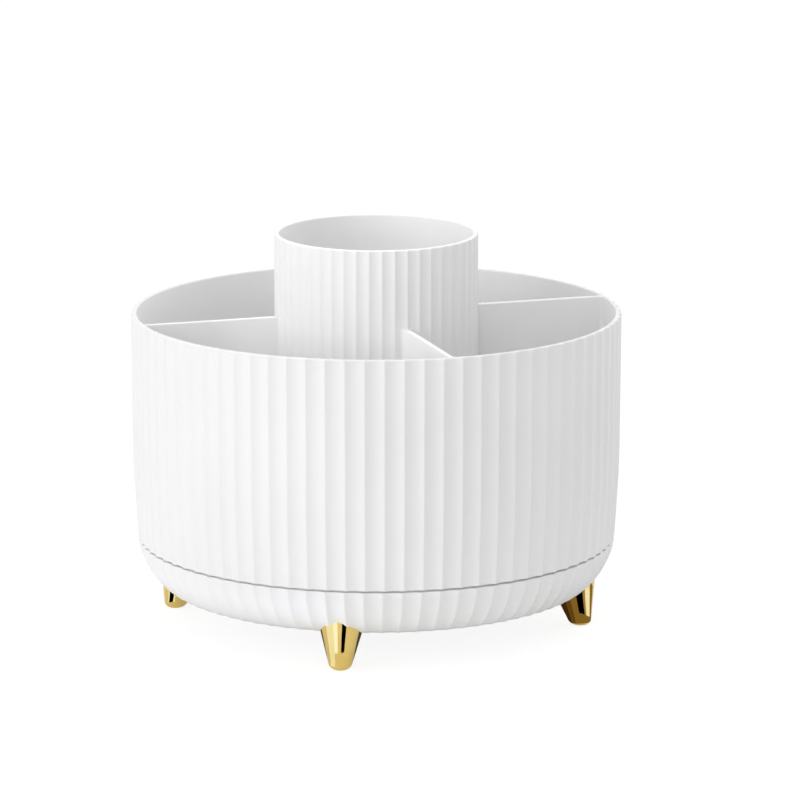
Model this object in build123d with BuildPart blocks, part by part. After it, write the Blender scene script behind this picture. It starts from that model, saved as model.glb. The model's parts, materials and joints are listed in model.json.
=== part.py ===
from build123d import *
import os
from math import cos, radians, sin, tan

# Rotating makeup organizer, in millimetres. A fluted tub with four dividers and a tall centre cup
# turns on a ring of balls in a footed base bowl. +Z is up, the origin is on the table under the
# turning axis, and the front compartment faces -Y.

# Overall sizes
rim_diameter = 152.4  # over the flute ridges at the tub's rim
ground_clearance = 11.3  # table to the underside of the base
base_height = 15.0
seam_gap = 0.6  # open slit between the base and the tub
tub_height = 71.2
cup_rise = 24.6  # cup rim above tub rim
overrun = 2.0  # how far cutting tools reach past what they cut

# Flutes
flute_count = 80
flute_depth = 0.7
cup_flute_count = 50
cup_flute_depth = 0.45
rim_round = 0.5  # height of the eased edge on every rim
rim_ease = 0.3  # how far that edge leans in

# Tub
tub_wall = 1.8
tub_floor = 2.0
tub_narrowing = 0.3  # on radius, from the rim down to the tuck
tuck_height = 22.5  # the wall tapers in more strongly over this lowest stretch
tuck_inset = 1.35
skirt_height = 2.6  # wall below the floor
floor_fillet = 2.0
tuck_bend = 12.0  # height over which the taper eases into the upper wall

# Dividers
divider_thickness = 1.6
divider_tongue = 0.5  # how far a plate sits in the grooves of wall and cup
divider_fit = 0.05
divider_round = 0.4

# Centre cup
cup_diameter = 63.3
cup_wall = 1.5
cup_floor = 2.0
cup_narrowing = 0.7  # on radius, down the bore to the floor
cup_boss_diameter = 10.0
cup_boss_fit = 0.05
cup_boss_gap = 1.5  # boss end above journal end, so that the screw can pull it down

# Base bowl
base_step = 0.1  # base wall inside the tub wall at the seam
corner_inset = 10.85
corner_power = 1.55  # roundness of the bowl's corner
corner_angles = (0, 22, 42, 58, 70, 81, 90)  # sections round the corner, in degrees
base_floor = 2.0
inner_corner = 12.0
lip_height = 2.0  # upstand inside the tub's skirt
lip_wall = 1.2
lip_gap = 0.3

# Feet
foot_overhang = 1.3  # tips stand this far outside the flat underside
foot_turn = 17.6  # first foot's angle from +X
foot_count = 4
foot_lean = 11.0
foot_half_angle = 15.5
foot_tip_diameter = 6.3
foot_round = 2.0
foot_length = 16.0  # along the leaning axis, table to socket floor
foot_fit = 0.1
foot_boss_wall = 1.2
foot_boss_floor = 2.0
foot_screw_diameter = 3.0
foot_screw_head_diameter = 6.0
foot_screw_head = 2.0
foot_screw_bite = 8.0  # screw length in the foot
screw_fit = 0.05
screw_hole_extra = 1.0  # hole depth past the screw's end
recess_length_share = 0.6  # cross recess of every screw, as shares of its head
recess_width_share = 0.16
recess_depth_share = 0.5

# Ball ring
ball_count = 8
ball_diameter = 5.0
track_gap = 0.95  # between the lower race's seat and the foot bosses
ball_fit = 0.1
groove_depth = 0.8
race_thickness = 2.2
race_width = 9.0
race_fit = 0.1
track_rib_height = 3.7
track_lip = 1.0  # height of the edges that hold a race in place
track_lip_wall = 1.2
cage_thickness = 2.0
cage_width = 9.0
pocket_fit = 0.15

# Pivot
journal_diameter = 14.0
journal_fit = 0.04
bush_wall = 1.5
flange_width = 2.0
flange_thickness = 1.2
shoulder_gap = 0.3
shoulder_wall = 4.0
hub_height = 10.5
hub_wall = 4.0
pivot_screw_diameter = 4.0
pivot_head_diameter = 8.4
pivot_head = 2.6
pivot_bite = 11.0  # screw length above the washer
washer_diameter = 18.0
washer_thickness = 1.0
washer_fit = 0.2
washer_gap = 0.6
axial_play = 0.2
head_gap = 0.3
cap_thickness = 1.4
cap_ledge = 1.2
cap_fit = 0.1
head_round = 0.6

# Heights worked out from the sizes
base_top_z = ground_clearance + base_height
tub_bottom_z = base_top_z + seam_gap
rim_z = tub_bottom_z + tub_height
cup_top_z = rim_z + cup_rise
base_floor_z = ground_clearance + base_floor
tub_under_z = tub_bottom_z + skirt_height
tub_floor_z = tub_under_z + tub_floor
tuck_z = tub_bottom_z + tuck_height

# Radii worked out from the sizes
rim_radius = rim_diameter / 2
tuck_radius = rim_radius - tub_narrowing
tub_foot_radius = tuck_radius - tuck_inset
skirt_radius = tub_foot_radius - tub_wall
base_top_radius = tub_foot_radius - base_step
lip_radius = skirt_radius - lip_gap
base_bore_radius = lip_radius - lip_wall
base_flat_radius = base_top_radius - corner_inset
cup_radius = cup_diameter / 2
cup_bore_radius = cup_radius - cup_wall
cup_boss_radius = cup_boss_diameter / 2
cup_floor_z = tub_floor_z + cup_floor

# Feet, splayed from sockets in the bowl's corner
foot_circle_radius = base_flat_radius + foot_overhang
foot_tip_radius = foot_tip_diameter / 2
foot_slope = tan(radians(foot_half_angle))
foot_top_radius = foot_tip_radius + foot_length * foot_slope
foot_boss_radius = foot_top_radius + foot_fit + foot_boss_wall
foot_boss_top = foot_length + foot_boss_floor
foot_boss_inner = (
    foot_circle_radius - foot_boss_top * sin(radians(foot_lean)) - foot_boss_radius * cos(radians(foot_lean))
)
foot_screw_radius = foot_screw_diameter / 2

# Ball ring, inside the foot bosses and stacked up from the base floor
ball_radius = ball_diameter / 2
track_outer = foot_boss_inner - track_gap
race_outer = track_outer - track_lip_wall - race_fit
orbit_radius = race_outer - race_width / 2
groove_radius = ball_radius + ball_fit
lower_seat_z = base_floor_z + track_rib_height
lower_face_z = lower_seat_z + race_thickness
ball_z = lower_face_z - groove_depth + groove_radius
upper_face_z = ball_z + groove_radius - groove_depth
upper_seat_z = upper_face_z + race_thickness
race_inner = orbit_radius - race_width / 2
track_inner = race_inner - race_fit - track_lip_wall

# Pivot, stacked up from the underside of the base
cap_seat_z = ground_clearance + cap_thickness
head_bottom_z = cap_seat_z + head_gap
washer_bottom_z = head_bottom_z + pivot_head
journal_end_z = washer_bottom_z + washer_thickness
hub_shoulder_z = journal_end_z + axial_play
hub_top_z = base_floor_z + hub_height
shoulder_z = hub_top_z + flange_thickness + shoulder_gap
journal_radius = journal_diameter / 2
bush_bore_radius = journal_radius + journal_fit
bush_radius = bush_bore_radius + bush_wall
hub_radius = bush_radius + hub_wall
washer_radius = washer_diameter / 2
recess_radius = washer_radius + washer_gap
cap_recess_radius = recess_radius + cap_ledge
pivot_screw_radius = pivot_screw_diameter / 2

divider_angles = {"front_right": -45, "back_right": 45, "back_left": 135, "front_left": 225}
foot_names = ("right", "back", "left", "front")
foot_angles = [foot_turn + 360 / foot_count * i for i in range(foot_count)]
above = (Align.CENTER, Align.CENTER, Align.MIN)
below = (Align.CENTER, Align.CENTER, Align.MAX)


def point_at(radius, angle):
    return (radius * cos(radians(angle)), radius * sin(radians(angle)))


def radial_plane(angle):
    # upright plane through the turning axis, local x outwards and local y up
    return Plane((0, 0, 0), x_dir=(*point_at(1, angle), 0), z_dir=(*point_at(1, angle - 90), 0))


def foot_plane(angle):
    # square to a foot's axis, at the middle of its tip, local z up along the axis
    lean = radians(foot_lean)
    outward = (*point_at(cos(lean), angle), sin(lean))
    upward = (*point_at(-sin(lean), angle), cos(lean))
    return Plane((*point_at(foot_circle_radius, angle), 0), x_dir=outward, z_dir=upward)


def fluted_section(z, radius, count, depth, ridge_angle):
    # hollow flutes between sharp ridges, ridges on the given radius
    pitch = 360 / count
    with BuildSketch(Plane.XY.offset(z)) as section:
        with BuildLine():
            for i in range(count):
                start = ridge_angle + i * pitch
                ThreePointArc(
                    point_at(radius, start),
                    point_at(radius - depth, start + pitch / 2),
                    point_at(radius, start + pitch),
                )
        make_face()
    return section.sketch


def tub_radius(z):
    # over the ridges: a straight taper up to the tuck, then the slight draft of the upper wall
    if z < tuck_z:
        return tuck_radius - tuck_inset * (tuck_z - z) / tuck_height
    return rim_radius - tub_narrowing * (rim_z - z) / (rim_z - tuck_z)


def tub_section(z, radius):
    # a flute's hollow lies on each divider
    ridge_angle = divider_angles["front_right"] + 180 / flute_count
    return fluted_section(z, radius, flute_count, flute_depth * radius / rim_radius, ridge_angle)


def base_section(angle):
    # stations of a superellipse, from the seam at 0 degrees to the flat underside at 90
    drop_share = sin(radians(angle)) ** (2 / corner_power)
    kept_share = max(cos(radians(angle)), 0) ** (2 / corner_power)
    z = base_top_z - base_height * drop_share
    radius = base_top_radius - corner_inset * (1 - kept_share)
    # a flute's hollow lies on each foot
    ridge_angle = foot_turn + 180 / flute_count
    return fluted_section(z, radius, flute_count, flute_depth * radius / rim_radius, ridge_angle)


def cup_section(z, radius):
    return fluted_section(z, radius, cup_flute_count, cup_flute_depth, divider_angles["front_right"])


def ring(inner, outer, bottom, top, mode=Mode.ADD):
    with BuildSketch(Plane.XY.offset(bottom)) as outline:
        Circle(outer)
        Circle(inner, mode=Mode.SUBTRACT)
    extrude(outline.sketch, amount=top - bottom, mode=mode)


def disc(radius, bottom, top, mode=Mode.ADD):
    with BuildSketch(Plane.XY.offset(bottom)) as outline:
        Circle(radius)
    extrude(outline.sketch, amount=top - bottom, mode=mode)


def divider_plate(angle, fit, top, mode=Mode.ADD):
    # side outline of a plate from cup to wall, thickened both ways
    inner = cup_radius - divider_tongue - fit
    reach = divider_tongue + fit - tub_wall
    with BuildSketch(radial_plane(angle)) as outline:
        with BuildLine():
            Polyline(
                (inner, tub_floor_z),
                (tub_radius(tub_floor_z) + reach, tub_floor_z),
                (tuck_radius + reach, tuck_z),
                (rim_radius + reach, top),
                (inner, top),
                close=True,
            )
        make_face()
    extrude(outline.sketch, amount=divider_thickness / 2 + fit, both=True, mode=mode)


def foot_cone(angle, fit, mode=Mode.ADD):
    with Locations(foot_plane(angle).offset(-overrun)):
        Cone(
            foot_tip_radius - overrun * foot_slope + fit,
            foot_top_radius + fit,
            foot_length + overrun,
            align=above,
            mode=mode,
        )


def cross_recess(head_diameter, head_height, align):
    # two crossed slots in a screw head, at the place that the caller sets
    length = head_diameter * recess_length_share
    width = head_diameter * recess_width_share
    depth = head_height * recess_depth_share
    Box(length, width, depth, align=align, mode=Mode.SUBTRACT)
    Box(width, length, depth, align=align, mode=Mode.SUBTRACT)


def finish(builder, name):
    builder.part.label = name
    export_step(builder.part, f"parts/{name}.step")


os.makedirs("parts", exist_ok=True)

# Tub: fluted wall lofted up through its sections, bored from above and hollowed from below,
# with a journal, its shoulder and the upper race's seat under the floor
with BuildPart() as organizer_tub:
    wall_heights = (tub_bottom_z, tuck_z - tuck_bend / 2, tuck_z + tuck_bend / 2, rim_z - rim_round)
    wall_sections = [tub_section(z, tub_radius(z)) for z in wall_heights]
    loft([*wall_sections, tub_section(rim_z, rim_radius - rim_ease)], ruled=True)
    with BuildSketch(Plane.XZ):
        with BuildLine():
            Polyline(
                (0, tub_floor_z),
                (tub_radius(tub_floor_z) - tub_wall, tub_floor_z),
                (tuck_radius - tub_wall, tuck_z),
                (rim_radius - tub_wall, rim_z - rim_round),
                (rim_radius - tub_wall + rim_ease, rim_z),
                (rim_radius - tub_wall + rim_ease, rim_z + overrun),
                (0, rim_z + overrun),
                close=True,
            )
        make_face()
        fillet(vertices().sort_by(Axis.Y)[:2].sort_by(Axis.X)[-1], floor_fillet)
    revolve(axis=Axis.Z, mode=Mode.SUBTRACT)
    disc(skirt_radius, tub_bottom_z - overrun, tub_under_z, mode=Mode.SUBTRACT)
    upper_lip_z = upper_seat_z - track_lip
    ring(track_inner, track_outer, upper_lip_z, tub_under_z)
    ring(race_inner - race_fit, race_outer + race_fit, upper_lip_z, upper_seat_z, mode=Mode.SUBTRACT)
    disc(journal_radius + shoulder_wall, shoulder_z, tub_under_z)
    disc(journal_radius, journal_end_z, shoulder_z)
    disc(cup_boss_radius + cup_boss_fit, journal_end_z - overrun, tub_floor_z + overrun, mode=Mode.SUBTRACT)
    for angle in divider_angles.values():
        divider_plate(angle, divider_fit, rim_z + overrun, mode=Mode.SUBTRACT)
finish(organizer_tub, "organizer_tub")

# Dividers: four plates in the grooves of wall and cup, standing on the tub floor
for place, angle in divider_angles.items():
    with BuildPart() as divider:
        divider_plate(angle, 0, rim_z)
        long_edges = divider.faces().sort_by(Axis.Z)[-1].edges().sort_by(SortBy.LENGTH)[-2:]
        fillet(long_edges, divider_round)
    finish(divider, f"divider_{place}")

# Centre cup: straight fluted wall, tapered bore, and a boss that plugs into the journal
with BuildPart() as brush_cup:
    extrude(cup_section(tub_floor_z, cup_radius), amount=cup_top_z - rim_round - tub_floor_z)
    edge_section = cup_section(cup_top_z - rim_round, cup_radius)
    loft([edge_section, cup_section(cup_top_z, cup_radius - rim_ease)], ruled=True)
    with BuildSketch(Plane.XZ):
        with BuildLine():
            Polyline(
                (0, cup_floor_z),
                (cup_bore_radius - cup_narrowing, cup_floor_z),
                (cup_bore_radius, cup_top_z - rim_round),
                (cup_bore_radius + rim_ease, cup_top_z),
                (cup_bore_radius + rim_ease, cup_top_z + overrun),
                (0, cup_top_z + overrun),
                close=True,
            )
        make_face()
        fillet(vertices().sort_by(Axis.Y)[:2].sort_by(Axis.X)[-1], floor_fillet)
    revolve(axis=Axis.Z, mode=Mode.SUBTRACT)
    disc(cup_boss_radius, journal_end_z + cup_boss_gap, tub_floor_z)
    screw_end_z = journal_end_z + pivot_bite
    disc(
        pivot_screw_radius + screw_fit,
        journal_end_z,
        screw_end_z + screw_hole_extra,
        mode=Mode.SUBTRACT,
    )
    for angle in divider_angles.values():
        divider_plate(angle, divider_fit, rim_z, mode=Mode.SUBTRACT)
finish(brush_cup, "brush_cup")

# Hollow of the base bowl, round the hub, the lower race's seat and the foot bosses
with BuildPart() as bowl_hollow:
    with BuildSketch(Plane.XZ):
        with BuildLine():
            Polyline(
                (0, base_floor_z),
                (base_bore_radius, base_floor_z),
                (base_bore_radius, base_top_z + lip_height + overrun),
                (0, base_top_z + lip_height + overrun),
                close=True,
            )
        make_face()
        fillet(vertices().sort_by(Axis.Y)[:2].sort_by(Axis.X)[-1], inner_corner)
    revolve(axis=Axis.Z)
    disc(hub_radius, base_floor_z, hub_top_z, mode=Mode.SUBTRACT)
    ring(track_inner, track_outer, base_floor_z, lower_seat_z + track_lip, mode=Mode.SUBTRACT)
    ring(race_inner - race_fit, race_outer + race_fit, lower_seat_z, lower_seat_z + track_lip)
    for angle in foot_angles:
        with Locations(foot_plane(angle)):
            Cylinder(foot_boss_radius, foot_boss_top, align=above, mode=Mode.SUBTRACT)

# Base bowl: flutes run down the wall and round the corner, closing up towards the underside
with BuildPart() as base_bowl:
    loft([base_section(angle) for angle in corner_angles])
    disc(lip_radius, base_top_z, base_top_z + lip_height)
    add(bowl_hollow.part, mode=Mode.SUBTRACT)
    disc(bush_radius, hub_shoulder_z, hub_top_z + overrun, mode=Mode.SUBTRACT)
    disc(recess_radius, ground_clearance - overrun, hub_shoulder_z, mode=Mode.SUBTRACT)
    disc(cap_recess_radius, ground_clearance - overrun, cap_seat_z, mode=Mode.SUBTRACT)
    for angle in foot_angles:
        foot_cone(angle, foot_fit, mode=Mode.SUBTRACT)
        with Locations(foot_plane(angle)):
            Cylinder(
                foot_screw_radius + screw_fit,
                foot_boss_top + overrun,
                align=above,
                mode=Mode.SUBTRACT,
            )
finish(base_bowl, "base_bowl")

# Feet: leaning cones, flat on the table and rounded at the tip, with a screw hole from above
for place, angle in zip(foot_names, foot_angles):
    with BuildPart() as foot:
        foot_cone(angle, 0)
        split(bisect_by=Plane.XY, keep=Keep.TOP)
        fillet(foot.faces().sort_by(Axis.Z)[0].edges(), foot_round)
        with Locations(foot_plane(angle).offset(foot_length - foot_screw_bite - screw_hole_extra)):
            Cylinder(
                foot_screw_radius + screw_fit,
                foot_screw_bite + screw_hole_extra + overrun,
                align=above,
                mode=Mode.SUBTRACT,
            )
    finish(foot, f"foot_{place}")

# Foot screws: heads on the bosses inside the base, one solid for each foot
with BuildPart() as foot_screws:
    for angle in foot_angles:
        seat = foot_plane(angle).offset(foot_boss_top)
        with Locations(seat):
            Cylinder(foot_screw_head_diameter / 2, foot_screw_head, align=above)
        with Locations(seat.offset(foot_screw_head)):
            cross_recess(foot_screw_head_diameter, foot_screw_head, below)
        with Locations(seat.offset(-foot_boss_floor - foot_screw_bite)):
            Cylinder(foot_screw_radius, foot_boss_floor + foot_screw_bite, align=above)
finish(foot_screws, "foot_screws")

# Races: steel rings with a ball groove, the lower one in the base and the upper one under the tub
with BuildPart() as lower_race:
    with BuildSketch(Plane.XZ):
        with Locations((orbit_radius, lower_seat_z)):
            Rectangle(race_width, race_thickness, align=(Align.CENTER, Align.MIN))
        with Locations((orbit_radius, ball_z)):
            Circle(groove_radius, mode=Mode.SUBTRACT)
    revolve(axis=Axis.Z)
finish(lower_race, "lower_race")

with BuildPart() as upper_race:
    with BuildSketch(Plane.XZ):
        with Locations((orbit_radius, upper_face_z)):
            Rectangle(race_width, race_thickness, align=(Align.CENTER, Align.MIN))
        with Locations((orbit_radius, ball_z)):
            Circle(groove_radius, mode=Mode.SUBTRACT)
    revolve(axis=Axis.Z)
finish(upper_race, "upper_race")

# Ball cage: flat ring with one pocket for each ball
with BuildPart() as ball_cage:
    cage_bottom_z = ball_z - cage_thickness / 2
    ring(
        orbit_radius - cage_width / 2,
        orbit_radius + cage_width / 2,
        cage_bottom_z,
        cage_bottom_z + cage_thickness,
    )
    with Locations((0, 0, ball_z)):
        with PolarLocations(orbit_radius, ball_count):
            Cylinder(ball_radius + pocket_fit, cage_thickness + overrun, mode=Mode.SUBTRACT)
finish(ball_cage, "ball_cage")

# Balls: each in its own pocket, the first on +X
for i in range(ball_count):
    with BuildPart() as ball:
        with Locations((*point_at(orbit_radius, 360 / ball_count * i), ball_z)):
            Sphere(ball_radius)
    finish(ball, f"ball_{i + 1:02d}")

# Hub bush: flanged sleeve in the hub, running on the tub's journal
with BuildPart() as hub_bush:
    ring(bush_bore_radius, bush_radius, hub_shoulder_z, hub_top_z)
    ring(bush_bore_radius, bush_radius + flange_width, hub_top_z, hub_top_z + flange_thickness)
finish(hub_bush, "hub_bush")

# Pivot washer: wider than the bush, clamped on the journal's end
with BuildPart() as pivot_washer:
    ring(pivot_screw_radius + washer_fit, washer_radius, washer_bottom_z, journal_end_z)
finish(pivot_washer, "pivot_washer")

# Pivot screw: up through washer and journal into the cup's boss
with BuildPart() as pivot_screw:
    disc(pivot_head_diameter / 2, head_bottom_z, washer_bottom_z)
    fillet(pivot_screw.edges().sort_by(Axis.Z)[0], head_round)
    with Locations((0, 0, head_bottom_z)):
        cross_recess(pivot_head_diameter, pivot_head, above)
    disc(pivot_screw_radius, washer_bottom_z, screw_end_z)
finish(pivot_screw, "pivot_screw")

# Screw cap: plug in the base's underside, seated on the ledge round the screw recess
with BuildPart() as screw_cap:
    disc(cap_recess_radius - cap_fit, ground_clearance, cap_seat_z)
    fillet(screw_cap.edges().sort_by(Axis.Z)[0], head_round)
finish(screw_cap, "screw_cap")
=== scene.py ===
import bmesh
import bpy
import json
from math import atan2, cos, pi, radians, sin, tan
from mathutils import Matrix, Vector

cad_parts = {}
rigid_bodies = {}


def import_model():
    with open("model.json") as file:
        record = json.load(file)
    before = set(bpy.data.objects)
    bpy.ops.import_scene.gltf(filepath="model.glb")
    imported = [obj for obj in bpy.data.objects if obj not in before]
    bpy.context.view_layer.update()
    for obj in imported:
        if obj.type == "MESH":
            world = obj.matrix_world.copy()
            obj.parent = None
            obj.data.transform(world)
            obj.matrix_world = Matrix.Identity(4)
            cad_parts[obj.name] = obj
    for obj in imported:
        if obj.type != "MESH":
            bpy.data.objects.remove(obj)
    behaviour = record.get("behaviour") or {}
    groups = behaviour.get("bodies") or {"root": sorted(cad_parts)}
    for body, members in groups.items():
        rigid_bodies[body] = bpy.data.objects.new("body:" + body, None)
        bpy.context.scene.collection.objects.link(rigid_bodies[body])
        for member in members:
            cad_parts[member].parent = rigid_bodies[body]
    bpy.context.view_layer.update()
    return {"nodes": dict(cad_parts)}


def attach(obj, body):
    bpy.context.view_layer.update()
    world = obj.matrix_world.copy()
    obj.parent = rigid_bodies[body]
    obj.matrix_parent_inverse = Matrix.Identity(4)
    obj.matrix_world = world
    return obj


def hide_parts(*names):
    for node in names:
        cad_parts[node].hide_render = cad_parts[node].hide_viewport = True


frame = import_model()
print("frame loaded,", len(frame["nodes"]), "nodes")

mm = 0.001  # pieces are drawn in millimetres and brought to metres when they are closed
onAxis = (0, 0, 0)
upward = (0, 0, 1)
weldGap = 0.002
ringBand = 0.1  # free edges this near to a height belong to the ring there
levelGap = 0.01  # points this near to a height or a face lie on it
smoothAngle = radians(38)
roundProfile = 0.5  # bevel profile of an even round
roundSteps = {"edge": 3, "rim": 5, "inner": 4, "floor": 6, "bowl": 8}


# Modelling steps that several pieces share

def startPiece(name):
    # a tiny plane pulled together to the one vertex that the piece grows from
    bpy.ops.object.select_all(action="DESELECT")
    bpy.ops.mesh.primitive_plane_add(size=1)
    piece = bpy.context.object
    piece.name = name
    piece.data.name = name
    bpy.ops.object.mode_set(mode="EDIT")
    bpy.ops.mesh.select_mode(type="VERT")
    bpy.ops.mesh.select_all(action="SELECT")
    bpy.ops.mesh.merge(type="CENTER")
    return piece


def selectWhere(test, kind="VERT"):
    # selects what the test accepts, by place
    bpy.ops.mesh.select_mode(type=kind)
    bpy.ops.mesh.select_all(action="DESELECT")
    mesh = bmesh.from_edit_mesh(bpy.context.object.data)
    parts = {"VERT": mesh.verts, "EDGE": mesh.edges, "FACE": mesh.faces}[kind]
    for part in parts:
        if test(part):
            part.select_set(True)
    mesh.select_flush(True)
    bmesh.update_edit_mesh(bpy.context.object.data)


def openEdges(z):
    # free edges at one height
    def test(edge):
        return edge.is_boundary and all(abs(v.co.z - z) <= ringBand for v in edge.verts)
    selectWhere(test, "EDGE")


def bridgeRings(z):
    openEdges(z)
    bpy.ops.mesh.bridge_edge_loops()


def fillRing(z):
    openEdges(z)
    bpy.ops.mesh.edge_face_add()


def arcRound(x, y, angle, steps):
    # carries the selected vertex round an upright line, clockwise for a plus angle
    bpy.ops.mesh.spin(steps=steps, angle=angle, center=(x, y, 0), axis=upward)


def drawOut(x, y, z=0):
    bpy.ops.mesh.extrude_region_move(TRANSFORM_OT_translate={"value": (x, y, z)})


def fluteRing(flutes, radius, z):
    # one flute from hollow to hollow as tangent arcs, with a rounded ridge between,
    # spun round the axis
    half = pi / flutes["count"]
    hollow = radius - flutes["depth"]
    ridge = radius - flutes["ridgeRound"]
    reach = hollow - flutes["ridgeRound"]
    centre = (ridge**2 - reach**2) / (2 * (ridge * cos(half) - reach))
    turn = atan2(ridge * sin(half), centre - ridge * cos(half))
    start = radians(flutes["hollowAngle"])
    middle, end = start + half, start + 2 * half
    bpy.ops.transform.translate(value=(hollow * cos(start), hollow * sin(start), z))
    arcRound(centre * cos(start), centre * sin(start), turn, flutes["arcSteps"])
    arcRound(ridge * cos(middle), ridge * sin(middle), -2 * (half + turn), flutes["ridgeSteps"])
    arcRound(centre * cos(end), centre * sin(end), turn, flutes["arcSteps"])
    bpy.ops.mesh.select_all(action="SELECT")
    copies = flutes["count"] - 1
    bpy.ops.mesh.spin(steps=copies, dupli=True, angle=2 * half * copies, center=onAxis, axis=upward)
    bpy.ops.mesh.select_all(action="SELECT")
    bpy.ops.mesh.remove_doubles(threshold=weldGap)


def ringCount(flutes):
    return flutes["count"] * (2 * flutes["arcSteps"] + flutes["ridgeSteps"])


def roundRing(flutes, radius, z):
    # plain ring with as many points as the fluted one, to be bridged to it
    turn = radians(flutes["hollowAngle"])
    bpy.ops.mesh.primitive_circle_add(
        vertices=ringCount(flutes), radius=radius, location=(0, 0, z), rotation=(0, 0, turn)
    )


def drawRing(stations):
    # draws the selected ring on through (radius, height) stations
    for (radius, z), (nextRadius, nextZ) in zip(stations, stations[1:]):
        drawOut(0, 0, nextZ - z)
        share = nextRadius / radius
        bpy.ops.transform.resize(value=(share, share, 1), center_override=onAxis)


def arcStations(radius, z, bend, first, last, kind):
    # stations along an arc, from the first to the last angle
    steps = roundSteps[kind]
    turns = [radians(first + (last - first) * i / steps) for i in range(steps + 1)]
    return [(radius + bend * cos(t), z + bend * sin(t)) for t in turns]


def closePiece(piece):
    bpy.ops.mesh.select_mode(type="VERT")
    bpy.ops.mesh.select_all(action="SELECT")
    bpy.ops.mesh.remove_doubles(threshold=weldGap)
    bpy.ops.mesh.normals_make_consistent(inside=False)
    bpy.ops.transform.resize(value=(mm, mm, mm), center_override=onAxis)
    bpy.ops.object.mode_set(mode="OBJECT")
    bpy.ops.object.shade_smooth_by_angle(angle=smoothAngle)
    piece.data.materials.clear()


def copyTurned(piece, name, angle):
    # own copy of a piece, turned about the upright axis
    bpy.ops.object.select_all(action="DESELECT")
    piece.select_set(True)
    bpy.context.view_layer.objects.active = piece
    bpy.ops.object.duplicate()
    copy = bpy.context.object
    copy.name = name
    copy.data.name = name
    copy.rotation_euler = (0, 0, radians(angle))
    bpy.ops.object.transform_apply(location=True, rotation=True, scale=True)
    return copy


def dressPiece(piece, material, body, node):
    piece.data.materials.append(material)
    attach(piece, body)
    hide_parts(node)


def copyAround(piece, places, material, body, node):
    # a dressed copy at each named angle, in place of the one that was modelled
    copies = []
    for place, angle in places.items():
        copy = copyTurned(piece, f"{piece.name}.{place}", angle)
        dressPiece(copy, material, body, f"{node}_{place}")
        copies.append(copy)
    bpy.data.objects.remove(piece)
    return copies


# Finishes: a soft cloud varies tint and gloss, a fine grain gives the bump

texture = {
    "cloudDetail": 3, "grainDetail": 2, "grainStrength": 0.3,
    "tintBand": (0.35, 0.65), "roughBand": (0.3, 0.7),  # the part of the cloud that counts
}


def newFinish(name, **sockets):
    material = bpy.data.materials.new(name)
    material.use_nodes = True
    shader = material.node_tree.nodes["Principled BSDF"]
    for socket, value in sockets.items():
        shader.inputs[socket].default_value = value
    return material


def noiseOn(material, scale, detail):
    nodes, links = material.node_tree.nodes, material.node_tree.links
    place = nodes.new("ShaderNodeTexCoord")
    noise = nodes.new("ShaderNodeTexNoise")
    noise.inputs["Scale"].default_value = scale
    noise.inputs["Detail"].default_value = detail
    links.new(place.outputs["Object"], noise.inputs["Vector"])
    return noise.outputs["Fac"]


def tintBy(material, factor, low, high):
    nodes, links = material.node_tree.nodes, material.node_tree.links
    ramp = nodes.new("ShaderNodeValToRGB")
    for stop, place, colour in zip(ramp.color_ramp.elements, texture["tintBand"], (low, high)):
        stop.position = place
        stop.color = (*colour, 1)
    links.new(factor, ramp.inputs["Fac"])
    links.new(ramp.outputs["Color"], nodes["Principled BSDF"].inputs["Base Color"])


def roughenBy(material, factor, low, high):
    nodes, links = material.node_tree.nodes, material.node_tree.links
    spread = nodes.new("ShaderNodeMapRange")
    start, end = texture["roughBand"]
    spread.inputs["From Min"].default_value = start
    spread.inputs["From Max"].default_value = end
    spread.inputs["To Min"].default_value = low
    spread.inputs["To Max"].default_value = high
    links.new(factor, spread.inputs["Value"])
    links.new(spread.outputs["Result"], nodes["Principled BSDF"].inputs["Roughness"])


def bumpBy(material, factor, strength, distance):
    nodes, links = material.node_tree.nodes, material.node_tree.links
    bump = nodes.new("ShaderNodeBump")
    bump.inputs["Strength"].default_value = strength
    bump.inputs["Distance"].default_value = distance
    links.new(factor, bump.inputs["Height"])
    links.new(bump.outputs["Normal"], nodes["Principled BSDF"].inputs["Normal"])


finishes = {
    "whitePlastic": {
        "low": (0.845, 0.845, 0.845), "high": (0.875, 0.875, 0.872),
        "smooth": 0.40, "rough": 0.50, "cloud": 22, "grain": 2400, "grainDepth": 0.00001,
    },
    "goldPlating": {
        "low": (0.82, 0.60, 0.19), "high": (0.86, 0.635, 0.215),
        "smooth": 0.06, "rough": 0.09, "cloud": 160, "grain": 420, "grainDepth": 0.000005,
    },
    "zincSteel": {
        "low": (0.50, 0.51, 0.53), "high": (0.62, 0.62, 0.62),
        "smooth": 0.28, "rough": 0.42, "cloud": 240, "grain": 3000, "grainDepth": 0.00001,
    },
    "ballSteel": {
        "low": (0.60, 0.60, 0.61), "high": (0.68, 0.68, 0.68),
        "smooth": 0.05, "rough": 0.10, "cloud": 300, "grain": 4000, "grainDepth": 0.000002,
    },
    "cagePlastic": {
        "low": (0.52, 0.52, 0.51), "high": (0.60, 0.60, 0.59),
        "smooth": 0.45, "rough": 0.60, "cloud": 80, "grain": 3000, "grainDepth": 0.00001,
    },
    "bushPlastic": {
        "low": (0.74, 0.73, 0.69), "high": (0.80, 0.79, 0.75),
        "smooth": 0.30, "rough": 0.40, "cloud": 80, "grain": 3000, "grainDepth": 0.00001,
    },
}


def makeFinish(name, **sockets):
    values = finishes[name]
    material = newFinish(name, **sockets)
    cloud = noiseOn(material, values["cloud"], texture["cloudDetail"])
    grain = noiseOn(material, values["grain"], texture["grainDetail"])
    tintBy(material, cloud, values["low"], values["high"])
    roughenBy(material, cloud, values["smooth"], values["rough"])
    bumpBy(material, grain, texture["grainStrength"], values["grainDepth"])
    return material


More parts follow.
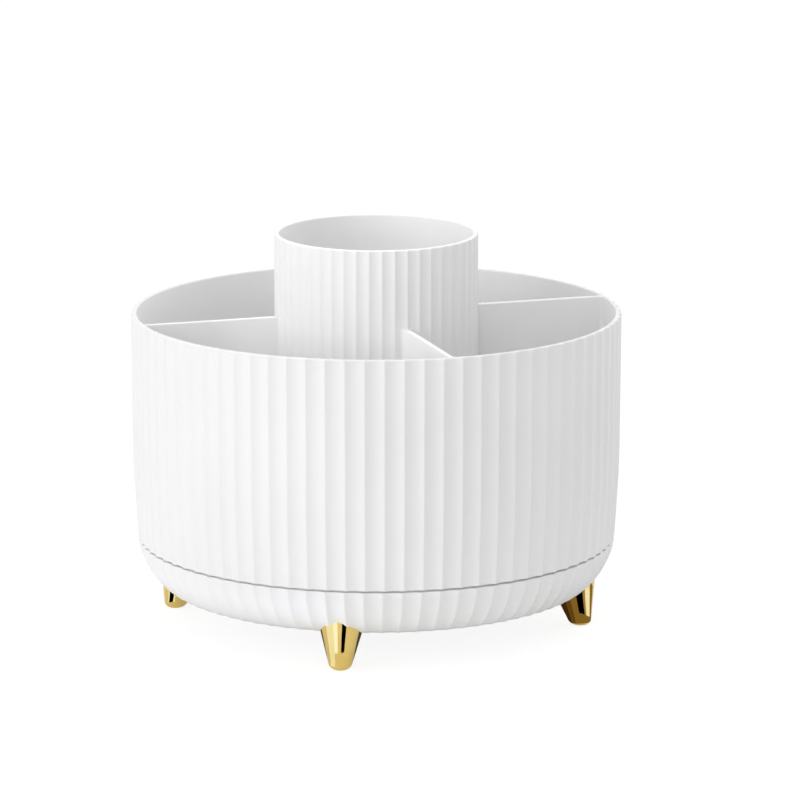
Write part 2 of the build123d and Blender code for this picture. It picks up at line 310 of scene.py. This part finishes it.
whitePlastic = makeFinish("whitePlastic", IOR=1.46)
goldPlating = makeFinish("goldPlating", Metallic=1.0)
zincSteel = makeFinish("zincSteel", Metallic=1.0)
ballSteel = makeFinish("ballSteel", Metallic=1.0)
cagePlastic = makeFinish("cagePlastic", IOR=1.5)
bushPlastic = makeFinish("bushPlastic", IOR=1.48)
print("finishes ready")


# Rings that seat the two races, under the tub and in the bowl: radii of their faces

raceSeat = (40.19, 41.39, 50.59, 51.79)


# Tub: fluted wall with a rounded rim, floor, and below it the journal and the upper race's seat

tub = {
    "rimRadius": 76.2, "tuckRadius": 75.9, "footRadius": 74.55, "wall": 1.8,
    "bottomZ": 26.9, "underZ": 29.5, "floorZ": 31.5, "tuckZ": 49.4, "rimZ": 98.1,
    "bend": 6.0, "rimRound": 0.5, "innerRound": 0.45, "edgeRound": 0.25, "floorRound": 2.0,
    "wallZ": (34, 40, 43.4, 46.4, 49.4, 52.4, 55.4, 66, 82),
    "flutes": {"count": 80, "depth": 0.7, "ridgeRound": 0.3, "hollowAngle": -45,
               "arcSteps": 4, "ridgeSteps": 2},
    "floorRing": 33.0, "shoulder": (11.0, 25.3),  # radius and height
    "trackLip": (24.0, 25.0),  # height of its end and of the seat
    "journal": (5.05, 7.0, 16.6),  # bore, outside and height of its end
}


def tubWall(z):
    # radius over the ridges: lower taper, upper draft, and an even bend between them
    lower = (tub["tuckRadius"] - tub["footRadius"]) / (tub["tuckZ"] - tub["bottomZ"])
    upper = (tub["rimRadius"] - tub["tuckRadius"]) / (tub["rimZ"] - tub["tuckZ"])
    above = z - tub["tuckZ"]
    bend = tub["bend"]
    if above <= -bend:
        return tub["tuckRadius"] + lower * above
    if above >= bend:
        return tub["tuckRadius"] + upper * above
    return tub["tuckRadius"] + lower * above + (upper - lower) * (above + bend)**2 / (4 * bend)


def tubStations():
    edge, rim, inner = tub["edgeRound"], tub["rimRound"], tub["innerRound"]
    wall, floorZ, underZ, bottomZ = tub["wall"], tub["floorZ"], tub["underZ"], tub["bottomZ"]
    outer = arcStations(tub["footRadius"] - edge, bottomZ + edge, edge, -90, 0, "edge")
    outer += [(tubWall(z), z) for z in tub["wallZ"]]
    outer += arcStations(tub["rimRadius"] - rim, tub["rimZ"] - rim, rim, 0, 90, "rim")
    mouth = tub["rimRadius"] - wall
    lining = arcStations(mouth + inner, tub["rimZ"] - inner, inner, 90, 180, "inner")
    lining += [(tubWall(z) - wall, z) for z in reversed(tub["wallZ"][2:])]
    bend = tub["floorRound"]
    cornerZ = floorZ + bend
    lining += arcStations(tubWall(cornerZ) - wall - bend, cornerZ, bend, 0, -90, "floor")
    bore, journal, journalEnd = tub["journal"]
    shoulder, shoulderZ = tub["shoulder"]
    lipEnd, seat = tub["trackLip"]
    r1, r2, r3, r4 = raceSeat
    skirt = tub["footRadius"] - wall
    lining += [
        (tub["floorRing"], floorZ), (bore, floorZ), (bore, journalEnd), (journal, journalEnd),
        (journal, shoulderZ), (shoulder, shoulderZ), (shoulder, underZ), (r1, underZ),
        (r1, lipEnd), (r2, lipEnd), (r2, seat), (r3, seat), (r3, lipEnd), (r4, lipEnd),
        (r4, underZ), (skirt, underZ), (skirt, bottomZ + edge), (skirt + edge, bottomZ),
    ]
    return outer, lining


def buildTub():
    piece = startPiece("tubShell")
    outer, lining = tubStations()
    fluteRing(tub["flutes"], *outer[0])
    drawRing(outer)
    roundRing(tub["flutes"], *lining[0])
    drawRing(lining)
    bridgeRings(tub["rimZ"])
    bridgeRings(tub["bottomZ"])
    closePiece(piece)
    dressPiece(piece, whitePlastic, "tub", "organizer_tub")
    return piece


tubShell = buildTub()
print("tub built,", len(tubShell.data.polygons), "faces")


# Centre cup: fluted wall, tapered bore, and the boss that plugs into the journal

cup = {
    "radius": 31.65, "bottomZ": 31.5, "floorZ": 33.5, "topZ": 122.7,
    "boreTop": 30.15, "boreFoot": 29.45, "rimRound": 0.45, "innerRound": 0.4, "edgeRound": 0.25,
    "floorRound": 2.0, "floorFill": 9.0, "underInset": 1.0,
    "boss": (5.0, 18.1), "screwHole": (2.05, 28.6),  # radius and height of the end
    "flutes": {"count": 50, "depth": 0.45, "ridgeRound": 0.2, "hollowAngle": -41.4,
               "arcSteps": 4, "ridgeSteps": 2},
}


def buildCup():
    piece = startPiece("cupShell")
    edge, rim, inner, bend = cup["edgeRound"], cup["rimRound"], cup["innerRound"], cup["floorRound"]
    outer = arcStations(cup["radius"] - edge, cup["bottomZ"] + edge, edge, -90, 0, "edge")
    outer += arcStations(cup["radius"] - rim, cup["topZ"] - rim, rim, 0, 90, "rim")
    lining = arcStations(cup["boreTop"] + inner, cup["topZ"] - inner, inner, 90, 180, "inner")
    lining += arcStations(cup["boreFoot"] - bend, cup["floorZ"] + bend, bend, 0, -90, "floor")
    lining += [(cup["floorFill"], cup["floorZ"])]
    boss, bossEnd = cup["boss"]
    hole, holeEnd = cup["screwHole"]
    under = [
        (cup["radius"] - cup["underInset"], cup["bottomZ"]), (boss, cup["bottomZ"]),
        (boss, bossEnd + edge), (boss - edge, bossEnd), (hole, bossEnd), (hole, holeEnd),
    ]
    fluteRing(cup["flutes"], *outer[0])
    drawRing(outer)
    roundRing(cup["flutes"], *lining[0])
    drawRing(lining)
    fillRing(cup["floorZ"])
    roundRing(cup["flutes"], *under[0])
    drawRing(under)
    fillRing(holeEnd)
    bridgeRings(cup["topZ"])
    bridgeRings(cup["bottomZ"])
    closePiece(piece)
    dressPiece(piece, whitePlastic, "tub", "brush_cup")
    return piece


cupShell = buildCup()
print("cup built,", len(cupShell.data.polygons), "faces")


# Dividers: one plate whose ends flare into the cup and the wall, copied to the four places

divider = {
    "thickness": 1.6, "flare": 1.3, "flareSteps": 6, "tongue": 0.5, "topRound": 0.4,
    "topSteps": 4, "cupFace": 31.3, "wallInset": 0.1, "floorZ": 31.5, "topZ": 98.08,
    "levels": (43.4, 49.4, 55.4), "middle": 53,
    "places": {"front_right": -45, "back_right": 45, "back_left": 135, "front_left": 225},
}


def dividerWallFace(z):
    return tubWall(z) - tub["wall"] + divider["wallInset"]


def dividerLevel(z):
    return lambda v: abs(v.co.z - z) < levelGap


def dividerWallEnd(z):
    return lambda v: abs(v.co.z - z) < levelGap and v.co.x > divider["middle"]


def dividerTop(z):
    # edges of the top, apart from the two tongues
    first, last = divider["cupFace"] - levelGap, dividerWallFace(z) + levelGap
    return lambda e: all(abs(v.co.z - z) < levelGap and first < v.co.x < last for v in e.verts)


def buildDividers():
    piece = startPiece("dividerPlate")
    half, flare, tongue = divider["thickness"] / 2, divider["flare"], divider["tongue"]
    cupFace, wallFace = divider["cupFace"], dividerWallFace(divider["floorZ"])
    steps = divider["flareSteps"]
    bpy.ops.transform.translate(value=(cupFace - tongue, 0, divider["floorZ"]))
    drawOut(0, half + flare)
    drawOut(tongue, 0)
    arcRound(cupFace + flare, half + flare, -pi / 2, steps)
    drawOut(wallFace - cupFace - 2 * flare, 0)
    arcRound(wallFace - flare, half + flare, -pi / 2, steps)
    drawOut(tongue, 0)
    drawOut(0, -half - flare)
    bpy.ops.mesh.select_all(action="SELECT")
    bpy.ops.mesh.duplicate()
    bpy.ops.transform.resize(value=(1, -1, 1), center_override=onAxis)
    bpy.ops.mesh.select_all(action="SELECT")
    bpy.ops.mesh.remove_doubles(threshold=weldGap)
    bpy.ops.mesh.edge_face_add()
    z = divider["floorZ"]
    for nextZ in (*divider["levels"], divider["topZ"]):
        selectWhere(dividerLevel(z))
        drawOut(0, 0, nextZ - z)
        selectWhere(dividerWallEnd(nextZ))
        bpy.ops.transform.translate(value=(dividerWallFace(nextZ) - dividerWallFace(z), 0, 0))
        z = nextZ
    selectWhere(dividerTop(z), "EDGE")
    bpy.ops.mesh.bevel(
        offset=divider["topRound"], segments=divider["topSteps"],
        profile=roundProfile, affect="EDGES",
    )
    closePiece(piece)
    return copyAround(piece, divider["places"], whitePlastic, "tub", "divider")


dividerPlates = buildDividers()
print("dividers built,", len(dividerPlates[0].data.polygons), "faces each")


# Where the four feet stand and how they lean, for the bowl's bosses, the feet and the cards

footStand = {
    "circle": 64.9, "lean": 11.0,
    "places": {"right": 17.6, "back": 107.6, "left": 197.6, "front": 287.6},
}


# Base bowl: flutes that run down its wall and round its corner,
# with the hub and the lower race's seat inside

bowl = {
    "topRadius": 74.45, "flatRadius": 63.6, "topZ": 26.3, "underZ": 11.3, "floorZ": 13.3,
    "cornerPower": 1.55, "cornerTurns": (7, 13, 19, 25, 32, 40, 48, 55, 62, 68, 74, 79, 84, 87, 90),
    "edgeRound": 0.25, "underInset": 1.2, "boreRadius": 71.25, "innerRound": 12.0,
    "flutes": {"count": 80, "depth": 0.684, "ridgeRound": 0.3, "hollowAngle": 17.6,
               "arcSteps": 4, "ridgeSteps": 2},
    "capRecess": (10.8, 12.7), "washerRecess": (9.6, 16.8),  # radius and height of the end
    "hub": (12.54, 23.8), "lip": (72.45, 28.3), "bushBore": 8.54,  # radius, height of the top
    "trackLip": (17.0, 18.0),  # height of the seat and of its end
    "boss": {"radius": 8.887, "reach": (8.0, 18.0), "sides": 64, "floorCut": 12.3,
             "cornerCut": (61.0, 11.9, 31.8)},  # radius, height and slant of the cut
}


def bowlCorner(turn):
    # the corner is a superellipse, from the seam at 0 to the flat underside at 90 degrees
    drop = sin(radians(turn)) ** (2 / bowl["cornerPower"])
    kept = max(cos(radians(turn)), 0) ** (2 / bowl["cornerPower"])
    radius = bowl["flatRadius"] + (bowl["topRadius"] - bowl["flatRadius"]) * kept
    return radius, bowl["topZ"] - (bowl["topZ"] - bowl["underZ"]) * drop


def cutAway(point, normal):
    # takes off what lies behind a plane and closes the cut
    bpy.ops.mesh.select_linked()
    bpy.ops.mesh.bisect(plane_co=point, plane_no=normal, use_fill=True, clear_inner=True)


def addBosses():
    # leaning bosses that the feet are screwed to, ending inside the bowl's floor and corner
    boss = bowl["boss"]
    lean = radians(footStand["lean"])
    start, end = boss["reach"]
    middle = (start + end) / 2
    cutRadius, cutZ, slant = boss["cornerCut"]
    for angle in footStand["places"].values():
        turn = Matrix.Rotation(radians(angle), 3, "Z")
        place = turn @ Vector((footStand["circle"] - middle * sin(lean), 0, middle * cos(lean)))
        bpy.ops.mesh.select_all(action="DESELECT")
        bpy.ops.mesh.primitive_cylinder_add(
            vertices=boss["sides"], radius=boss["radius"], depth=end - start,
            location=place, rotation=(0, -lean, radians(angle)),
        )
        cutAway((0, 0, boss["floorCut"]), upward)
        corner = turn @ Vector((cutRadius, 0, cutZ))
        cutAway(corner, turn @ Vector((-sin(radians(slant)), 0, cos(radians(slant)))))


def buildBowl():
    piece = startPiece("bowlShell")
    edge = bowl["edgeRound"]
    outer = arcStations(bowl["topRadius"] - edge, bowl["topZ"] - edge, edge, 90, 0, "edge")
    outer += [bowlCorner(turn) for turn in bowl["cornerTurns"]]
    underZ, floorZ = bowl["underZ"], bowl["floorZ"]
    capRadius, capSeat = bowl["capRecess"]
    recess, shoulderZ = bowl["washerRecess"]
    hub, hubTop = bowl["hub"]
    seat, lipEnd = bowl["trackLip"]
    r1, r2, r3, r4 = raceSeat
    bend, bore = bowl["innerRound"], bowl["boreRadius"]
    lip, lipTop = bowl["lip"]
    lining = [
        (bowl["flatRadius"] - bowl["underInset"], underZ), (capRadius + edge, underZ),
        (capRadius, underZ + edge), (capRadius, capSeat), (recess, capSeat), (recess, shoulderZ),
        (bowl["bushBore"], shoulderZ), (bowl["bushBore"], hubTop), (hub - edge, hubTop),
        (hub, hubTop - edge), (hub, floorZ), (r1, floorZ), (r1, lipEnd), (r2, lipEnd), (r2, seat),
        (r3, seat), (r3, lipEnd), (r4, lipEnd), (r4, floorZ),
    ]
    lining += arcStations(bore - bend, floorZ + bend, bend, -90, 0, "bowl")
    lining += [
        (bore, lipTop - edge), (bore + edge, lipTop), (lip - edge, lipTop), (lip, lipTop - edge),
        (lip, bowl["topZ"]),
    ]
    fluteRing(bowl["flutes"], *outer[0])
    drawRing(outer)
    roundRing(bowl["flutes"], *lining[0])
    drawRing(lining)
    bridgeRings(bowl["topZ"])
    bridgeRings(underZ)
    bpy.ops.mesh.select_mode(type="VERT")
    addBosses()
    closePiece(piece)
    dressPiece(piece, whitePlastic, "base", "base_bowl")
    return piece


bowlShell = buildBowl()
print("bowl built,", len(bowlShell.data.polygons), "faces")


# Feet: one leaning cone with a rounded tip and a screw hole, copied to the four places

foot = {
    "halfAngle": 15.5, "tipRadius": 3.15, "length": 16.0, "sides": 96,
    "below": 2.0,  # stretch of the cone under the floor, cut off level
    "tipRound": 1.8, "tipSteps": 10, "holeRadius": 1.55, "holeDepth": 9.0,
}


def buildFeet():
    bpy.ops.object.select_all(action="DESELECT")
    lean, slope = radians(footStand["lean"]), tan(radians(foot["halfAngle"]))
    axis = Vector((-sin(lean), 0, cos(lean)))
    tip = Vector((footStand["circle"], 0, 0))
    depth = foot["length"] + foot["below"]
    topRadius = foot["tipRadius"] + foot["length"] * slope
    bpy.ops.mesh.primitive_cone_add(
        vertices=foot["sides"],
        radius1=foot["tipRadius"] - foot["below"] * slope,
        radius2=topRadius,
        depth=depth,
        location=tip + axis * (foot["length"] - foot["below"]) / 2,
        rotation=(0, -lean, 0),
    )
    piece = bpy.context.object
    piece.name = "goldFoot"
    bpy.ops.object.transform_apply(location=True, rotation=True, scale=True)
    bpy.ops.object.mode_set(mode="EDIT")
    bpy.ops.mesh.select_all(action="SELECT")
    bpy.ops.mesh.bisect(plane_co=onAxis, plane_no=upward, use_fill=True, clear_inner=True)
    selectWhere(lambda e: all(abs(v.co.z) < levelGap for v in e.verts), "EDGE")
    bpy.ops.mesh.bevel(
        offset=foot["tipRound"], segments=foot["tipSteps"], profile=roundProfile, affect="EDGES"
    )
    selectWhere(lambda f: len(f.verts) == foot["sides"] and f.normal.dot(axis) > 0, "FACE")
    bpy.ops.mesh.inset(thickness=topRadius - foot["holeRadius"])
    drawOut(*(-axis * foot["holeDepth"]))
    closePiece(piece)
    return copyAround(piece, footStand["places"], goldPlating, "base", "foot")


goldFeet = buildFeet()
print("feet built,", len(goldFeet[0].data.polygons), "faces each")


# Turntable pieces inside keep their solids and get their finishes

innerFinishes = {
    "lower_race": zincSteel, "upper_race": zincSteel, "foot_screws": zincSteel,
    "pivot_screw": zincSteel, "pivot_washer": zincSteel, "ball_cage": cagePlastic,
    "hub_bush": bushPlastic, "screw_cap": whitePlastic,
}
for name, node in frame["nodes"].items():
    finish = ballSteel if name.startswith("ball_0") else innerFinishes.get(name)
    if finish:
        node.material_slots[0].material = finish
print("turntable finished")


# Studio: pale floor, soft light from the left, weaker ones in front and behind,
# and narrow ones on the tub's mouth, the cup and the base

studio = {
    "floorSize": 14, "floorColour": (0.94, 0.94, 0.94, 1), "glowStrength": 1.10,
    "skyColour": (1, 1, 1, 1), "skyStrength": 1.0, "ambient": 0.70,
    "floorGlow": {"Is Camera Ray": 0.80, "Is Glossy Ray": 0.25, "Is Transmission Ray": 0.80},
    "skyGlow": {"Is Camera Ray": 1, "Is Glossy Ray": 1, "Is Transmission Ray": 1},
    "softboxes": {
        "keyLight": {"place": (-0.82, -1.29, 0.48), "size": (0.9, 0.75), "power": 6.8},
        "fillLight": {"place": (0.19, -1.44, 0.42), "size": (1.0, 0.7), "power": 1.9},
        "rimLight": {"place": (0.40, 1.38, 0.50), "size": (0.6, 0.8), "power": 4},
        "baseLight": {"place": (-0.35, -0.95, 0.017), "size": (0.16, 0.012), "power": 0.0005,
                      "shape": "ELLIPSE", "spread": 0.6, "aim": (0, 0, 0.017)},
    },
    "spots": {
        "mouthLight": {"place": (0, 0, 0.5), "cone": 23, "blend": 0.15, "bulb": 0.01, "power": 2.3,
                       "aim": (0, 0, 0.098)},
        "cupLight": {"place": (-0.03, -0.77, 0.75), "cone": 4.5, "blend": 0.15, "bulb": 0.004,
                     "power": 3.1, "aim": (0, -0.0316, 0.112)},
    },
    "aim": (0, 0, 0.06), "openSpread": 180,  # for the lamps that state none of their own
}


def backgroundRay(nodes, links, shares):
    # its share for what the lens, a mirror or glass looks at, 0 for light on the object
    path = nodes.new("ShaderNodeLightPath")
    total = None
    for ray, share in shares.items():
        part = nodes.new("ShaderNodeMath")
        part.operation = "MULTIPLY"
        part.inputs[1].default_value = share
        links.new(path.outputs[ray], part.inputs[0])
        if total:
            most = nodes.new("ShaderNodeMath")
            most.operation = "MAXIMUM"
            links.new(total, most.inputs[0])
            links.new(part.outputs[0], most.inputs[1])
            part = most
        total = part.outputs[0]
    return total


def buildFloor():
    bpy.ops.object.select_all(action="DESELECT")
    bpy.ops.mesh.primitive_plane_add(size=studio["floorSize"], location=onAxis)
    floor = bpy.context.object
    floor.name = "studioFloor"
    material = bpy.data.materials.new("paleFloor")
    material.use_nodes = True
    nodes, links = material.node_tree.nodes, material.node_tree.links
    nodes.clear()
    diffuse = nodes.new("ShaderNodeBsdfDiffuse")
    diffuse.inputs["Color"].default_value = studio["floorColour"]
    glow = nodes.new("ShaderNodeEmission")
    glow.inputs["Strength"].default_value = studio["glowStrength"]
    mix = nodes.new("ShaderNodeMixShader")
    output = nodes.new("ShaderNodeOutputMaterial")
    links.new(backgroundRay(nodes, links, studio["floorGlow"]), mix.inputs["Fac"])
    links.new(diffuse.outputs[0], mix.inputs[1])
    links.new(glow.outputs[0], mix.inputs[2])
    links.new(mix.outputs[0], output.inputs["Surface"])
    floor.data.materials.append(material)


def buildWorld():
    world = bpy.data.worlds.new("paleStudio")
    bpy.context.scene.world = world
    world.use_nodes = True
    nodes, links = world.node_tree.nodes, world.node_tree.links
    strength = nodes.new("ShaderNodeMapRange")
    strength.inputs["To Min"].default_value = studio["ambient"]
    strength.inputs["To Max"].default_value = studio["skyStrength"]
    links.new(backgroundRay(nodes, links, studio["skyGlow"]), strength.inputs["Value"])
    nodes["Background"].inputs["Color"].default_value = studio["skyColour"]
    links.new(strength.outputs["Result"], nodes["Background"].inputs["Strength"])


def addLight(name, kind, values):
    place = Vector(values["place"])
    aim = Vector(values.get("aim", studio["aim"]))
    turn = (aim - place).to_track_quat("-Z", "Y").to_euler()
    bpy.ops.object.light_add(type=kind, location=place, rotation=turn)
    light = bpy.context.object
    light.name = name
    light.data.energy = values["power"]
    return light


def buildLights():
    for name, values in studio["softboxes"].items():
        light = addLight(name, "AREA", values)
        light.data.shape = values.get("shape", "RECTANGLE")
        light.data.spread = radians(values.get("spread", studio["openSpread"]))
        light.data.size, light.data.size_y = values["size"]
    for name, values in studio["spots"].items():
        light = addLight(name, "SPOT", values)
        light.visible_camera = False
        light.data.spot_size = radians(values["cone"])
        light.data.spot_blend = values["blend"]
        light.data.shadow_soft_size = values["bulb"]


# Painted reflections: cards on the floor that only reflections show, wedges round three feet and a
# dark one under the base

# bright wedges paint highlights into the gold feet, dark and brown ones paint the shadow and shade
# they would reflect; the dark disc under the base paints the shade under the bowl
cards = {
    "cameraSide": -62.6, "lift": 0.02, "steps": 10, "underRadius": 57, "underSides": 64,
    # glow of each card, from painted highlight (white, pale, straw) to painted shade and shadow
    # (bronze, brown, umber, grey, black)
    "glows": {
        "white": (1.25, 1.45, 2.5), "pale": (1.05, 1.2, 1.7), "straw": (0.38, 0.32, 0.25),
        "bronze": (0.25, 0.18, 0.08), "brown": (0.13, 0.085, 0.03), "umber": (0.057, 0.027, 0.009),
        "grey": (0.08, 0.08, 0.08), "black": (0, 0, 0),
    },
    "feet": {  # wedges round the foot's middle: first and last angle, near and far end, glow
        "front": (
            (-42, -20, 15, 42, "white"), (-85, -42, 5, 40, "pale"), (2, 25, 15, 45, "black"),
        ),
        "left": (
            (-55, -20, 6, 19, "black"), (-20, -8, 6, 19, "pale"), (-68, -56, 6, 19, "pale"),
        ),
        "right": (
            (-130, -70, 3.2, 30, "umber"), (-70, -35, 3.2, 30, "brown"),
            (-35, 2, 3.2, 30, "bronze"), (2, 44, 9, 30, "black"), (44, 60, 9, 30, "straw"),
            (60, 98, 9, 30, "pale"), (2, 98, 3.2, 9, "bronze"), (98, 130, 3.2, 40, "bronze"),
        ),
    },
}


def paintedReflectionCard(piece, name, glow):
    # an emission sheet that only glossy rays see, painting a highlight or shade into what the metal
    # reflects
    material = bpy.data.materials.new(name)
    material.use_nodes = True
    nodes, links = material.node_tree.nodes, material.node_tree.links
    nodes.clear()
    shine = nodes.new("ShaderNodeEmission")
    shine.inputs["Color"].default_value = (*cards["glows"][glow], 1)
    output = nodes.new("ShaderNodeOutputMaterial")
    links.new(shine.outputs[0], output.inputs["Surface"])
    piece.data.materials.append(material)
    piece.visible_camera = False
    piece.visible_diffuse = False
    piece.visible_shadow = False
    piece.visible_transmission = False


def buildWedge(name, footAngle, first, last, near, far):
    piece = startPiece(name)
    turn = radians(footAngle)
    footX, footY = footStand["circle"] * cos(turn), footStand["circle"] * sin(turn)
    start = radians(cards["cameraSide"] + first)
    bpy.ops.transform.translate(
        value=(footX + near * cos(start), footY + near * sin(start), cards["lift"])
    )
    drawOut((far - near) * cos(start), (far - near) * sin(start))
    bpy.ops.mesh.select_all(action="SELECT")
    arcRound(footX, footY, radians(first - last), cards["steps"])
    closePiece(piece)
    return piece


def buildCards():
    # wedges of painted highlight and painted shade round each foot
    for place, wedges in cards["feet"].items():
        for i, (first, last, near, far, glow) in enumerate(wedges):
            name = f"floorCard.{place}{i}"
            piece = buildWedge(name, footStand["places"][place], first, last, near, far)
            paintedReflectionCard(piece, name, glow)
    # a dark disc under the base: painted shade of the bowl, which the feet reflect
    bpy.ops.object.select_all(action="DESELECT")
    bpy.ops.mesh.primitive_circle_add(
        vertices=cards["underSides"], radius=cards["underRadius"] * mm, fill_type="NGON",
        location=(0, 0, cards["lift"] * mm / 2),
    )
    paintedReflectionCard(bpy.context.object, "paintedBowlShadeCard", "grey")


buildFloor()
buildWorld()
buildLights()
buildCards()
print("studio lit")


# Camera at the photograph's angle

view = {
    "azimuth": 27.4, "elevation": 12.72, "distance": 1.622, "target": (0, 0, 0.06096),
    "lens": 233.7, "sensor": 36, "aimRight": 0.00739, "aimUp": 0.00824,
}


def buildCamera():
    azimuth, elevation = radians(view["azimuth"]), radians(view["elevation"])
    level = cos(elevation)
    towards = Vector((sin(azimuth) * level, -cos(azimuth) * level, sin(elevation)))
    right = Vector((cos(azimuth), sin(azimuth), 0))
    target = Vector(view["target"])
    place = target + towards * view["distance"]
    aim = target + right * view["aimRight"] + towards.cross(right) * view["aimUp"]
    turn = (aim - place).to_track_quat("-Z", "Y").to_euler()
    bpy.ops.object.camera_add(location=place, rotation=turn)
    camera = bpy.context.object
    camera.data.lens = view["lens"]
    camera.data.sensor_width = view["sensor"]
    bpy.context.scene.camera = camera


buildCamera()
bpy.context.scene.view_settings.view_transform = "Standard"
print("camera set")
